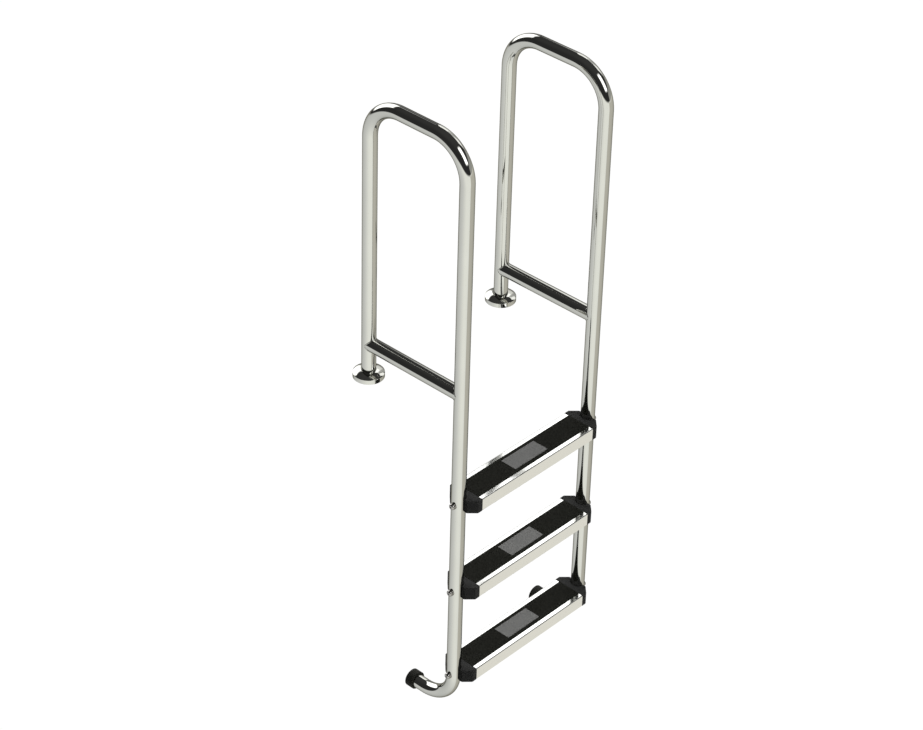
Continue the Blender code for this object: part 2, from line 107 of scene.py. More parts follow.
# ---------------------------------------------------------------- sizes that the nodes' boxes don't give
FIT_GAP = 0.0003
TUBE_WALL = 0.0015
BEND_RADIUS = 0.1060
WELD_RADIUS = 0.0013
FOOT_WELD_RADIUS = 0.0022
WELD_RIPPLE = 0.05                  # share of the bead's radius
WELD_RIPPLE_STEPS = 4               # rings of the bead from one ripple to the next
WELD_SEGMENTS = 12
COVER_RIM_HEIGHT = 0.0128           # where the rounded edge between the rim and the cone starts
COVER_CONE_SLOPE = 38               # degrees from level
COVER_CROWN_SLOPE = 5               # the crown flattens to this slope at the post
COVER_CROWN_RADIUS = 0.0395
COVER_WALL = 0.0014
COVER_COLLAR_WIDTH = 0.0006
COVER_POST_CLEARANCE = 0.0005
COVER_FOOT_RADIUS = 0.0005
PLATE_HOLE_RADIUS = 0.0045
PLATE_HOLE_CIRCLE = 0.0290
PLATE_HOLE_COUNT = 3
PLATE_EDGE_RADIUS = 0.0006
BUMPER_END_WALL = 0.0077
BUMPER_EDGE_RADIUS = 0.0018
BUMPER_LIP_RADIUS = 0.0012
TRAY_SHEET = 0.0015
TRAY_FOLD_RADIUS = 0.0030
TRAY_LIP = 0.0120
MAT_RIM = 0.0020                    # plain edge around the mat's raised pattern
MAT_CELL = 0.0028
MAT_CELL_SLOPE = 0.0006
MAT_RELIEF = 0.00035
PATCH_THICKNESS = 0.0010
PATCH_GRAIN = 0.0010                # spacing of the patch's rough surface
PATCH_ROUGHNESS = 0.00022
PATCH_GRIT_SIZE = 1.3               # in grains
PATCH_EDGE_DROP = 2.0               # how far the surface lies under the pad's full height, in roughnesses
PATCH_MIDDLE_DROP = 0.5
CAP_ARM_REACH = 0.0302
CAP_CORNER_RADIUS = 0.0050
CAP_EDGE_RADIUS = 0.0016
CAP_CHAMFER_DEGREES = 45
PLUG_LENGTH = 0.0350
PLUG_CLEARANCE = 0.0006
PLUG_WALL = 0.0035
PLUG_BOSS_HALF_WIDTH = 0.0100
BOLT_RADIUS = 0.0040
BOLT_HEAD_RADIUS = 0.0088
BOLT_HEAD_HEIGHT = 0.0072
BOLT_HEAD_EDGE = 0.0020
BOLT_HEAD_CHAMFER = 0.0004
BOLT_HEAD_FLAT_RADIUS = 0.0040
BOLT_SOCKET_ACROSS_FLATS = 0.0050
BOLT_SOCKET_DEPTH = 0.0035
BOLT_CLEARANCE = 0.0005
THREAD_PITCH = 0.00125
THREAD_DEPTH = 0.0006
THREAD_LENGTH = 0.0280
THREAD_STEPS = 4                    # rings of the shank in one pitch
WASHER_THICKNESS = 0.0020
WASHER_SKIRT = 0.0045               # extra depth of the blank that the post's curve is cut out of
WASHER_EDGE_RADIUS = 0.0005
NUT_ACROSS_FLATS = 0.0130
NUT_POCKET_CLEARANCE = 0.0004
NUT_FACE_INSET = 0.0003
NUT_CORNER_DEGREES = 30
CUT_MARGIN = 0.0050                 # how far a cutter runs past the surface that it opens
HARDWARE_CUT_MARGIN = 0.0020

TUBE_SEGMENTS = 64
BEND_STEPS = 40
TURNED_SEGMENTS = 96
HARDWARE_SEGMENTS = 48
ROUND_STEPS = 8
CROWN_STEPS = 16
SMALL_EDGE_STEPS = 3
LIP_STEPS = 4
HEXAGON_SIDES = 6

# ---------------------------------------------------------------- places read from the frame
SIDES = {"left": -1, "right": 1}
QUARTER_TURN = math.pi / 2
FULL_TURN = 2 * math.pi
TREADS = [1, 2, 3]


def half_size(node):
    """Half the width, depth and height of a CAD node."""
    low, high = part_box(node)
    return (high - low) / 2


def middle(node):
    low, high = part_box(node)
    return (high + low) / 2


rail_low, rail_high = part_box("left_side_rail")
TUBE_RADIUS = half_size("left_side_rail").x
HALF_SPACING = middle("right_side_rail").x
POOL_POST_Y = rail_low.y + TUBE_RADIUS
HANDRAIL_Z = rail_high.z - TUBE_RADIUS
STUB_Z = rail_low.z + TUBE_RADIUS
BRACE_Z = middle("left_cross_brace").z
PLATE_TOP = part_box("left_base_plate")[1].z
SEAT_RADIUS = TUBE_RADIUS + FIT_GAP


# ---------------------------------------------------------------- mesh helpers
def skin(rings, loop=False):
    """One closed body through rings of points. With loop the last ring joins the first; without it, both ends
    are flat faces."""
    mesh = bmesh.new()
    rows = [[mesh.verts.new(point) for point in ring] for ring in rings]
    following = rows[1:] + (rows[:1] if loop else [])
    for row, other in zip(rows, following):
        for index in range(len(row)):
            mesh.faces.new((row[index - 1], row[index], other[index], other[index - 1]))
    if not loop:
        mesh.faces.new(rows[0])
        mesh.faces.new(rows[-1])
    bmesh.ops.recalc_face_normals(mesh, faces=mesh.faces)
    return mesh


def arc(centre, radius, start_degrees, end_degrees, steps=ROUND_STEPS):
    """Points along part of a circle, both ends included."""
    points = []
    for step in range(steps + 1):
        angle = math.radians(start_degrees + (end_degrees - start_degrees) * step / steps)
        points.append((centre[0] + radius * math.cos(angle), centre[1] + radius * math.sin(angle)))
    return points


def turned(profile, segments=TURNED_SEGMENTS, loop=False):
    """A body turned about Z from (radius, height) points."""
    rings = []
    for radius, height in profile:
        circle = arc((0, 0), radius, 0, 360, segments)[:-1]
        rings.append([(x, y, height) for x, y in circle])
    return skin(rings, loop)


def prism(outline, start, length):
    return skin([[(x, y, start) for x, y in outline], [(x, y, start + length) for x, y in outline]])


def box(low, high):
    outline = [(low[0], low[1]), (high[0], low[1]), (high[0], high[1]), (low[0], high[1])]
    return prism(outline, low[2], high[2] - low[2])


def cylinder(radius, start, end, segments=HARDWARE_SEGMENTS):
    return turned([(radius, start), (radius, end)], segments)


def turn(mesh, axis, angle=QUARTER_TURN):
    bmesh.ops.rotate(mesh, verts=mesh.verts, cent=(0, 0, 0), matrix=Matrix.Rotation(angle, 3, axis))
    return mesh


def hexagon(across_flats, start, end):
    prism_along_z = cylinder(across_flats / math.sqrt(3), start, end, HEXAGON_SIDES)
    return turn(prism_along_z, "Z", FULL_TURN / HEXAGON_SIDES / 2)


def shift(mesh, offset):
    bmesh.ops.translate(mesh, verts=mesh.verts, vec=offset)
    return mesh


def round_edges(mesh, radius, angle_degrees=30, steps=3):
    """Round every edge that is sharper than the given angle."""
    sharp = [edge for edge in mesh.edges if edge.calc_face_angle(0) > math.radians(angle_degrees)]
    bmesh.ops.bevel(
        mesh,
        geom=sharp,
        offset=radius,
        offset_type="OFFSET",
        segments=steps,
        profile=0.5,
        affect="EDGES",
        clamp_overlap=True,
    )
    return mesh


def place_mesh(name, mesh):
    """Turn a finished bmesh into an object at the origin."""
    data = bpy.data.meshes.new(name)
    mesh.to_mesh(data)
    mesh.free()
    item = bpy.data.objects.new(name, data)
    bpy.context.scene.collection.objects.link(item)
    return item


def settle(item):
    """Make what the modifiers give the object's own mesh."""
    depsgraph = bpy.context.evaluated_depsgraph_get()
    data = bpy.data.meshes.new_from_object(item.evaluated_get(depsgraph))
    item.modifiers.clear()
    item.data = data


def combine(item, steps):
    """Cut or join item with other meshes, given as (operation, mesh) pairs."""
    for operation, mesh in steps:
        tool = place_mesh(item.name + "_tool", mesh)
        modifier = item.modifiers.new("cut", "BOOLEAN")
        modifier.operation = operation
        modifier.solver = "EXACT"
        modifier.object = tool
        settle(item)
        bpy.data.objects.remove(tool)


def shade(item, crisp_degrees=40):
    """Smooth shading that large faces lead, with crisp edges where the surface really turns."""
    item.data.shade_smooth()
    item.data.set_sharp_from_angle(angle=math.radians(crisp_degrees))
    weighted = item.modifiers.new("shading", "WEIGHTED_NORMAL")
    weighted.mode = "FACE_AREA"
    weighted.keep_sharp = True


def dress(item, slot, node=None, body="root", material=None):
    """Give a piece its material and its body, and hide the CAD node that it stands for."""
    item.data.materials.clear()
    item.data.materials.append(MATERIALS[material or slot])
    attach(item, body)
    if node:
        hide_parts(node)


def copy_to(source, name, place, spin=0.0):
    """A second object with the source's mesh and modifiers."""
    item = source.copy()
    item.name = name
    item.location = place
    item.rotation_euler = (0, 0, spin)
    bpy.context.scene.collection.objects.link(item)
    return item


# ---------------------------------------------------------------- material helpers
class Nodes:
    """The node tree of a material or a world, built a node at a time."""

    def __init__(self, owner, shader):
        owner.use_nodes = True
        self.tree = owner.node_tree
        self.shader = self.tree.nodes[shader]

    def add(self, kind, **settings):
        node = self.tree.nodes.new(kind)
        for name, value in settings.items():
            setattr(node, name, value)
        return node

    def link(self, source, target):
        self.tree.links.new(source, target)

    def place(self, scale=(1, 1, 1)):
        """Object coordinates, stretched."""
        coordinates = self.add("ShaderNodeTexCoord")
        mapping = self.add("ShaderNodeMapping")
        mapping.inputs["Scale"].default_value = scale
        self.link(coordinates.outputs["Object"], mapping.inputs["Vector"])
        return mapping.outputs["Vector"]

    def noise(self, vector, scale, detail=2.0):
        texture = self.add("ShaderNodeTexNoise")
        texture.inputs["Scale"].default_value = scale
        texture.inputs["Detail"].default_value = detail
        self.link(vector, texture.inputs["Vector"])
        return texture.outputs["Fac"]

    def spread(self, value, low, high):
        """A value between 0.3 and 0.7, as noise gives, spread over low to high."""
        spread = self.add("ShaderNodeMapRange")
        spread.inputs["From Min"].default_value = 0.3
        spread.inputs["From Max"].default_value = 0.7
        spread.inputs["To Min"].default_value = low
        spread.inputs["To Max"].default_value = high
        self.link(value, spread.inputs["Value"])
        return spread.outputs["Result"]

    def blend(self, value, first, second):
        """A colour between two, by a value."""
        mix = self.add("ShaderNodeMix", data_type="RGBA")
        mix.inputs["A"].default_value = (*first, 1)
        mix.inputs["B"].default_value = (*second, 1)
        self.link(self.spread(value, 0, 1), mix.inputs["Factor"])
        return mix.outputs["Result"]

    def calculate(self, operation, *values):
        """A number worked out from sockets or plain numbers."""
        node = self.add("ShaderNodeMath", operation=operation)
        for entry, value in zip(node.inputs, values):
            if isinstance(value, bpy.types.NodeSocket):
                self.link(value, entry)
            else:
                entry.default_value = value
        return node.outputs["Value"]

    def along(self, direction, axis):
        """The part of a direction that lies along an axis."""
        product = self.add("ShaderNodeVectorMath", operation="DOT_PRODUCT")
        product.inputs[1].default_value = axis
        self.link(direction, product.inputs[0])
        return product.outputs["Value"]

    def rise(self, value, start, end):
        """A number that goes smoothly from 0 at start to 1 at end."""
        rise = self.add("ShaderNodeMapRange", interpolation_type="SMOOTHSTEP")
        rise.inputs["From Min"].default_value = start
        rise.inputs["From Max"].default_value = end
        self.link(value, rise.inputs["Value"])
        return rise.outputs["Result"]

    def mix(self, share, first, second):
        """A colour between two, each a socket or a plain colour."""
        mix = self.add("ShaderNodeMix", data_type="RGBA")
        self.link(share, mix.inputs["Factor"])
        for entry, value in ((mix.inputs[6], first), (mix.inputs[7], second)):
            if isinstance(value, bpy.types.NodeSocket):
                self.link(value, entry)
            else:
                entry.default_value = (*value, 1)
        return mix.outputs[2]

    def bump(self, height, strength, distance):
        bump = self.add("ShaderNodeBump")
        bump.inputs["Strength"].default_value = strength
        bump.inputs["Distance"].default_value = distance
        self.link(height, bump.inputs["Height"])
        self.link(bump.outputs["Normal"], self.shader.inputs["Normal"])


def polished_steel():
    """Mirror polished stainless steel, with a faint haze and fine polishing marks."""
    material = bpy.data.materials.new("polished_steel")
    nodes = Nodes(material, "Principled BSDF")
    shader = nodes.shader.inputs
    shader["Metallic"].default_value = 1.0
    shader["Specular Tint"].default_value = (0.28, 0.28, 0.27, 1)
    cloud = nodes.noise(nodes.place(), 9.0)
    nodes.link(nodes.blend(cloud, (0.565, 0.566, 0.540), (0.585, 0.586, 0.560)), shader["Base Color"])
    grain = nodes.noise(nodes.place((1, 1, 0.05)), 900.0)
    nodes.link(nodes.spread(grain, 0.035, 0.050), shader["Roughness"])
    return material


def painted_light_tray_steel():
    """The treads' folded sheet: steel brightened far past the polished steel of its slot, painted light that
    makes its top and front come out near white, with a fine grain along the tread.
    """
    material = bpy.data.materials.new("painted_light_tray_steel")
    nodes = Nodes(material, "Principled BSDF")
    shader = nodes.shader.inputs
    shader["Metallic"].default_value = 1.0
    cloud = nodes.noise(nodes.place(), 12.0)
    # Base colour far brighter than the polished steel's: painted light.
    nodes.link(nodes.blend(cloud, (0.930, 0.935, 0.935), (0.950, 0.955, 0.955)), shader["Base Color"])
    grain = nodes.noise(nodes.place((0.04, 1, 1)), 1200.0)
    nodes.link(nodes.spread(grain, 0.10, 0.14), shader["Roughness"])
    return material


def painted_shade_bolt_steel():
    """The fasteners' bright, glossy steel, darker than the steel of their slot: painted shade that makes the
    bolt heads and washers come out dark.
    """
    material = bpy.data.materials.new("painted_shade_bolt_steel")
    nodes = Nodes(material, "Principled BSDF")
    shader = nodes.shader.inputs
    shader["Metallic"].default_value = 1.0
    shader["Specular Tint"].default_value = (0.28, 0.28, 0.27, 1)
    cloud = nodes.noise(nodes.place(), 200.0)
    # Base colour darker than the polished steel's: painted shade.
    nodes.link(nodes.blend(cloud, (0.36, 0.35, 0.34), (0.42, 0.41, 0.40)), shader["Base Color"])
    grain = nodes.noise(nodes.place((1, 1, 8)), 900.0)
    nodes.link(nodes.spread(grain, 0.06, 0.10), shader["Roughness"])
    return material


def satin_steel():
    """Turned and brushed stainless steel."""
    material = bpy.data.materials.new("satin_steel")
    nodes = Nodes(material, "Principled BSDF")
    shader = nodes.shader.inputs
    shader["Metallic"].default_value = 1.0
    grain = nodes.noise(nodes.place((1, 1, 8)), 260.0, 4.0)
    nodes.link(nodes.blend(grain, (0.50, 0.50, 0.49), (0.60, 0.60, 0.59)), shader["Base Color"])
    nodes.link(nodes.spread(grain, 0.16, 0.30), shader["Roughness"])
    nodes.bump(grain, 0.05, 0.0002)
    return material


def black_plastic():
    """Moulded plastic with a fine spark-eroded grain."""
    material = bpy.data.materials.new("black_plastic")
    nodes = Nodes(material, "Principled BSDF")
    shader = nodes.shader.inputs
    shader["Specular IOR Level"].default_value = 0.03
    cloud = nodes.noise(nodes.place(), 30.0)
    colour = nodes.blend(cloud, (0.0500, 0.0500, 0.0497), (0.0540, 0.0540, 0.0537))
    nodes.link(colour, shader["Base Color"])
    grain = nodes.noise(nodes.place(), 1800.0, 3.0)
    nodes.link(nodes.spread(grain, 0.50, 0.62), shader["Roughness"])
    nodes.bump(grain, 0.10, 0.0002)
    return material


def black_rubber():
    """Matt rubber, slightly dusty."""
    material = bpy.data.materials.new("black_rubber")
    nodes = Nodes(material, "Principled BSDF")
    shader = nodes.shader.inputs
    shader["Specular IOR Level"].default_value = 0.12
    cloud = nodes.noise(nodes.place(), 60.0, 4.0)
    colour = nodes.blend(cloud, (0.0138, 0.0142, 0.0103), (0.0162, 0.0166, 0.0127))
    nodes.link(colour, shader["Base Color"])
    grain = nodes.noise(nodes.place(), 2600.0, 3.0)
    nodes.link(nodes.spread(grain, 0.62, 0.80), shader["Roughness"])
    nodes.bump(grain, 0.25, 0.0002)
    return material


def bumper_rubber():
    """Smooth, greyer rubber."""
    material = bpy.data.materials.new("bumper_rubber")
    nodes = Nodes(material, "Principled BSDF")
    shader = nodes.shader.inputs
    shader["Specular IOR Level"].default_value = 0.10
    cloud = nodes.noise(nodes.place(), 60.0, 4.0)
    colour = nodes.blend(cloud, (0.0330, 0.0334, 0.0285), (0.0360, 0.0364, 0.0315))
    nodes.link(colour, shader["Base Color"])
    grain = nodes.noise(nodes.place(), 2600.0, 3.0)
    nodes.link(nodes.spread(grain, 0.52, 0.66), shader["Roughness"])
    return material


def grey_grip():
    """A rough pad of grey grit."""
    material = bpy.data.materials.new("grey_grip")
    nodes = Nodes(material, "Principled BSDF")
    shader = nodes.shader.inputs
    shader["Specular IOR Level"].default_value = 0.35
    grit = nodes.noise(nodes.place(), 900.0, 4.0)
    nodes.link(nodes.blend(grit, (0.190, 0.190, 0.189), (0.290, 0.290, 0.288)), shader["Base Color"])
    nodes.link(nodes.spread(grit, 0.70, 0.90), shader["Roughness"])
    nodes.bump(grit, 0.5, 0.0003)
    return material


MATERIALS = {
    "polished_steel": polished_steel(),
    "painted_light_tray_steel": painted_light_tray_steel(),
    "satin_steel": satin_steel(),
    "painted_shade_bolt_steel": painted_shade_bolt_steel(),
    "black_plastic": black_plastic(),
    "black_rubber": black_rubber(),
    "bumper_rubber": bumper_rubber(),
    "grey_grip": grey_grip(),
}


# ---------------------------------------------------------------- side rails and braces
def rail_path(stub_end):
    """The middle of a rail's tube from the base plate to the end of the stub, as (y, z, degrees).

    The angle says which way the outside of the bend faces.
    """
    top_bend = HANDRAIL_Z - BEND_RADIUS
    low_bend = STUB_Z + BEND_RADIUS
    bends = [
        (-BEND_RADIUS, top_bend, 0),
        (POOL_POST_Y + BEND_RADIUS, top_bend, 90),
        (POOL_POST_Y + BEND_RADIUS, low_bend, 180),
    ]
    path = [(0, PLATE_TOP + FIT_GAP, 0)]
    for y, z, start in bends:
        for step in range(BEND_STEPS + 1):
            degrees = start + 90 * step / BEND_STEPS
            angle = math.radians(degrees)
            path.append((y + BEND_RADIUS * math.cos(angle), z + BEND_RADIUS * math.sin(angle), degrees))
    path.append((stub_end, STUB_Z, 270))
    return path


def rail_mesh(stub_end):
    """The hollow tube along the rail's path, outside first and then back along its bore."""
    path = rail_path(stub_end)
    rings = []
    for radius, stretch in ((TUBE_RADIUS, path), (TUBE_RADIUS - TUBE_WALL, path[::-1])):
        for y, z, degrees in stretch:
            outward = math.radians(degrees)
            ring = []
            for across, out in arc((0, 0), radius, 0, 360, TUBE_SEGMENTS)[:-1]:
                ring.append((across, y + out * math.cos(outward), z + out * math.sin(outward)))
            rings.append(ring)
    return skin(rings, loop=True)


def saddle(across, toward, radius):
    """How far in front of a post's axis its surface lies, at a distance across from the axis."""
    return toward * math.sqrt(radius**2 - across**2)


def brace_mesh():
    """A tube between the posts, with both ends coped to the posts' curve."""
    circle = arc((0, 0), 1, 0, 360, TUBE_SEGMENTS)[:-1]
    rings = []
    for radius, ends in ((TUBE_RADIUS, (0, 1)), (TUBE_RADIUS - TUBE_WALL, (1, 0))):
        for end in ends:
            post_y, toward = ((0, -1), (POOL_POST_Y, 1))[end]
            ring = []
            for across, up in circle:
                y = post_y + saddle(across * radius, toward, SEAT_RADIUS)
                ring.append((across * radius, y, BRACE_Z + up * radius))
            rings.append(ring)
    return skin(rings, loop=True)


def bead(centres, radius, out_of):
    """A weld bead: a thin round ring through centres, whose section faces away from out_of(centre)."""
    rings = []
    count = len(centres)
    for index, centre in enumerate(centres):
        along = (centres[(index + 1) % count] - centres[index - 1]).normalized()
        outward = (centre - out_of(centre)).normalized()
        sideways = along.cross(outward).normalized()
        outward = sideways.cross(along)
        ripple = radius * (1 + WELD_RIPPLE * math.cos(FULL_TURN * index / WELD_RIPPLE_STEPS))
        ring = []
        for out, side in arc((0, 0), ripple, 0, 360, WELD_SEGMENTS)[:-1]:
            ring.append(centre + outward * out + sideways * side)
        rings.append(ring)
    return skin(rings, loop=True)


def weld_circle():
    """Points around a tube, close enough together for a weld bead's ripples."""
    return arc((0, 0), TUBE_RADIUS, 0, 360, WELD_RIPPLE_STEPS * TUBE_SEGMENTS)[:-1]


def brace_weld(post_y, toward):
    """The bead where a brace meets a post."""
    centres = []
    for across, up in weld_circle():
        centres.append(Vector((across, post_y + saddle(across, toward, SEAT_RADIUS), BRACE_Z + up)))
    return bead(centres, WELD_RADIUS, lambda centre: Vector((0, centre.y, BRACE_Z)))


def foot_weld():
    """The bead where a deck post meets its base plate."""
    centres = [Vector((x, y, PLATE_TOP + FIT_GAP)) for x, y in weld_circle()]
    return bead(centres, FOOT_WELD_RADIUS, lambda centre: Vector((0, 0, centre.z)))


def add_rails():
    stub_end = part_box("left_wall_bumper")[1].y - BUMPER_END_WALL - FIT_GAP
    rail = place_mesh("left_rail_tube", rail_mesh(stub_end))
    brace = place_mesh("left_brace_tube", brace_mesh())
    deck_weld = place_mesh("left_brace_deck_weld", brace_weld(0, -1))
    pool_weld = place_mesh("left_brace_pool_weld", brace_weld(POOL_POST_Y, 1))
    foot = place_mesh("left_foot_weld", foot_weld())
    nodes = {rail: "side_rail", brace: "cross_brace", deck_weld: None, pool_weld: None, foot: None}
    for item, node in nodes.items():
        shade(item)
        item.location = (-HALF_SPACING, 0, 0)
        twin = copy_to(item, item.name.replace("left", "right"), (HALF_SPACING, 0, 0))
        slot = "satin_steel" if item is foot else "polished_steel"
        dress(item, slot, node and "left_" + node)
        dress(twin, slot, node and "right_" + node)


# ---------------------------------------------------------------- feet on the deck
def add_base_plates():
    """Discs with three fixing holes and lightly broken edges."""
    radius = half_size("left_base_plate").y
    edge = PLATE_EDGE_RADIUS
    profile = arc((radius - edge, edge), edge, -90, 0, SMALL_EDGE_STEPS)
    profile += arc((radius - edge, PLATE_TOP - edge), edge, 0, 90, SMALL_EDGE_STEPS)
    plate = place_mesh("left_plate", turned(profile))
    holes = []
    for index in range(PLATE_HOLE_COUNT):
        angle = QUARTER_TURN + FULL_TURN * index / PLATE_HOLE_COUNT
        place = (PLATE_HOLE_CIRCLE * math.cos(angle), PLATE_HOLE_CIRCLE * math.sin(angle), 0)
        holes.append(("DIFFERENCE", shift(cylinder(PLATE_HOLE_RADIUS, -edge, PLATE_TOP + edge), place)))
    combine(plate, holes)
    shade(plate)
    plate.location = (-HALF_SPACING, 0, 0)
    twin = copy_to(plate, "right_plate", (HALF_SPACING, 0, 0))
    dress(plate, "satin_steel", "left_base_plate")
    dress(twin, "satin_steel", "right_base_plate")


def add_flange_covers():
    """Low domes: an upright rim, a short cone, a rounded crown and a narrow flat ring around the post."""
    radius = half_size("left_flange_cover").x
    low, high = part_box("left_flange_cover")
    bore = TUBE_RADIUS + COVER_POST_CLEARANCE
    cone_angle = 90 - COVER_CONE_SLOPE
    crown_angle = 90 - COVER_CROWN_SLOPE
    inner_corner = (radius - COVER_WALL, COVER_RIM_HEIGHT)
    edge = arc(inner_corner, COVER_WALL, 0, cone_angle)
    collar = bore + COVER_COLLAR_WIDTH
    crown_top = arc((0, 0), COVER_CROWN_RADIUS, crown_angle, crown_angle)[0]
    crown_centre = (collar - crown_top[0], high.z - crown_top[1])
    foot = (radius - COVER_FOOT_RADIUS, low.z + COVER_FOOT_RADIUS)
    profile = arc(foot, COVER_FOOT_RADIUS, -90, 0, SMALL_EDGE_STEPS) + edge
    profile += arc(crown_centre, COVER_CROWN_RADIUS, cone_angle, crown_angle, CROWN_STEPS)
    profile += [(bore, high.z), (bore, high.z - COVER_WALL)]
    profile += arc(crown_centre, COVER_CROWN_RADIUS - COVER_WALL, crown_angle, cone_angle, CROWN_STEPS)
    profile += [inner_corner, (radius - COVER_WALL, low.z)]
    cover = place_mesh("left_cover", turned(profile, loop=True))
    shade(cover)
    cover.location = (-HALF_SPACING, 0, 0)
    twin = copy_to(cover, "right_cover", (HALF_SPACING, 0, 0))
    dress(cover, "polished_steel", "left_flange_cover", "left_cover")
    dress(twin, "polished_steel", "right_flange_cover", "right_cover")


# ---------------------------------------------------------------- wall bumpers
def add_bumpers():
    """Rubber caps, rounded at the wall end and at the lip around the stub."""
    low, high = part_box("left_wall_bumper")
    radius = half_size("left_wall_bumper").z
    length = high.y - low.y
    depth = length - BUMPER_END_WALL
    lip = (radius - BUMPER_LIP_RADIUS, BUMPER_LIP_RADIUS)
    end = (radius - BUMPER_EDGE_RADIUS, length - BUMPER_EDGE_RADIUS)
    profile = [(SEAT_RADIUS, depth), (SEAT_RADIUS, 0)]
    profile += arc(lip, BUMPER_LIP_RADIUS, -90, 0, LIP_STEPS) + arc(end, BUMPER_EDGE_RADIUS, 0, 90)
    bumper = place_mesh("left_bumper", turn(turned(profile, TUBE_SEGMENTS), "X", -QUARTER_TURN))
    shade(bumper)
    bumper.location = (-HALF_SPACING, low.y, STUB_Z)
    twin = copy_to(bumper, "right_bumper", (HALF_SPACING, low.y, STUB_Z))
    dress(bumper, "black_rubber", "left_wall_bumper", material="bumper_rubber")
    dress(twin, "black_rubber", "right_wall_bumper", material="bumper_rubber")


# ---------------------------------------------------------------- treads
# A tread is modelled about the middle of its mat's top, as its CAD nodes are.
mat_low, mat_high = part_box("tread_1_mat")
TREAD_ORIGIN = Vector((0, POOL_POST_Y, mat_high.z))
tray_low, tray_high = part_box("tread_1_tray")
TRAY_HALF_LENGTH = tray_high.x
TRAY_HALF_WIDTH = half_size("tread_1_tray").y
TRAY_TOP = tray_high.z - mat_high.z
TRAY_BOTTOM = tray_low.z - mat_high.z
MAT_HALF_WIDTH = half_size("tread_1_mat").y
MAT_BOTTOM = mat_low.z - mat_high.z
CAP_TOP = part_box("tread_1_left_end_cap")[1].z - mat_high.z
CAP_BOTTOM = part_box("tread_1_left_end_cap")[0].z - mat_high.z
BOLT_Z = middle("tread_1_left_bolt").z - mat_high.z
BOLT_HEAD_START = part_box("tread_1_right_bolt")[1].x - BOLT_HEAD_HEIGHT
BOLT_LENGTH = BOLT_HEAD_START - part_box("tread_1_right_bolt")[0].x
NUT_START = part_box("tread_1_right_nut")[0].x
NUT_THICKNESS = 2 * half_size("tread_1_right_nut").x
WASHER_RADIUS = half_size("tread_1_right_saddle_washer").z
PATCH_HALF = half_size("tread_1_centre_patch")
PATCH_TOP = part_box("tread_1_centre_patch")[1].z - mat_high.z


def tray_mesh():
    """Folded sheet, open underneath between two lips."""
    side = TRAY_HALF_WIDTH
    upper = (side - TRAY_FOLD_RADIUS, TRAY_TOP - TRAY_FOLD_RADIUS)
    lower = (side - TRAY_FOLD_RADIUS, TRAY_BOTTOM + TRAY_FOLD_RADIUS)
    inner = TRAY_FOLD_RADIUS - TRAY_SHEET
    right = arc(upper, TRAY_FOLD_RADIUS, 90, 0) + arc(lower, TRAY_FOLD_RADIUS, 0, -90)
    right += [(side - TRAY_LIP, TRAY_BOTTOM), (side - TRAY_LIP, TRAY_BOTTOM + TRAY_SHEET)]
    right += arc(lower, inner, -90, 0) + arc(upper, inner, 0, 90)
    left = [(-y, z) for y, z in reversed(right)]
    mesh = prism(right + left, -TRAY_HALF_LENGTH, 2 * TRAY_HALF_LENGTH)
    return turn(turn(mesh, "X"), "Z")


def lines(start, end, spacing):
    """Evenly spaced values from start to end, both included, about spacing apart."""
    count = max(1, round(abs(end - start) / spacing))
    return [start + (end - start) * step / count for step in range(count + 1)]


def mat_mesh():
    """A rubber mat with a fine raised pattern, a plain rim, and a recess for the centre patch."""
    recess_x = PATCH_HALF.x + FIT_GAP
    recess_y = PATCH_HALF.y + FIT_GAP
    rim_x = TRAY_HALF_LENGTH - MAT_RIM
    rim_y = MAT_HALF_WIDTH - MAT_RIM
    inside_x = lines(-recess_x, recess_x, MAT_CELL)[1:-1]
    inside_y = lines(-recess_y, recess_y, MAT_CELL)[1:-1]
    outside_x = lines(recess_x, rim_x, MAT_CELL) + [TRAY_HALF_LENGTH]
    outside_y = lines(recess_y, rim_y, MAT_CELL) + [MAT_HALF_WIDTH]
    across = [-x for x in reversed(outside_x)] + inside_x + outside_x
    along = [-y for y in reversed(outside_y)] + inside_y + outside_y
    mesh = bmesh.new()
    rows = [[mesh.verts.new((x, y, -MAT_RELIEF)) for y in along] for x in across]
    for row, other in zip(rows, rows[1:]):
        for index in range(len(along) - 1):
            mesh.faces.new((row[index], other[index], other[index + 1], row[index + 1]))
    mesh.faces.ensure_lookup_table()
    top = list(mesh.faces)
    recess = []
    raised = []
    for face in top:
        x, y, _ = face.calc_center_median()
        if abs(x) < recess_x and abs(y) < recess_y:
            recess.append(face)
        elif abs(x) < rim_x and abs(y) < rim_y:
            raised.append(face)
    bottom = bmesh.ops.extrude_face_region(mesh, geom=top, use_keep_orig=True)["geom"]
    sink = MAT_BOTTOM + MAT_RELIEF
    bottom_verts = [item for item in bottom if isinstance(item, bmesh.types.BMVert)]
    bottom_faces = [item for item in bottom if isinstance(item, bmesh.types.BMFace)]
    bmesh.ops.translate(mesh, vec=(0, 0, sink), verts=bottom_verts)
    bmesh.ops.dissolve_faces(mesh, faces=bottom_faces)
    bmesh.ops.recalc_face_normals(mesh, faces=mesh.faces)
    floor = PATCH_TOP - PATCH_THICKNESS - FIT_GAP + MAT_RELIEF
    edges = {edge for face in recess for edge in face.edges}
    corners = {corner for face in recess for corner in face.verts}
    moved = bmesh.ops.extrude_face_region(mesh, geom=recess + list(edges) + list(corners))["geom"]
    moved_faces = [item for item in moved if isinstance(item, bmesh.types.BMFace)]
    moved_verts = [item for item in moved if isinstance(item, bmesh.types.BMVert)]
    bmesh.ops.translate(mesh, vec=(0, 0, floor), verts=moved_verts)
    bmesh.ops.dissolve_faces(mesh, faces=moved_faces)
    bmesh.ops.inset_individual(mesh, faces=raised, thickness=MAT_CELL_SLOPE, depth=MAT_RELIEF)
    return mesh


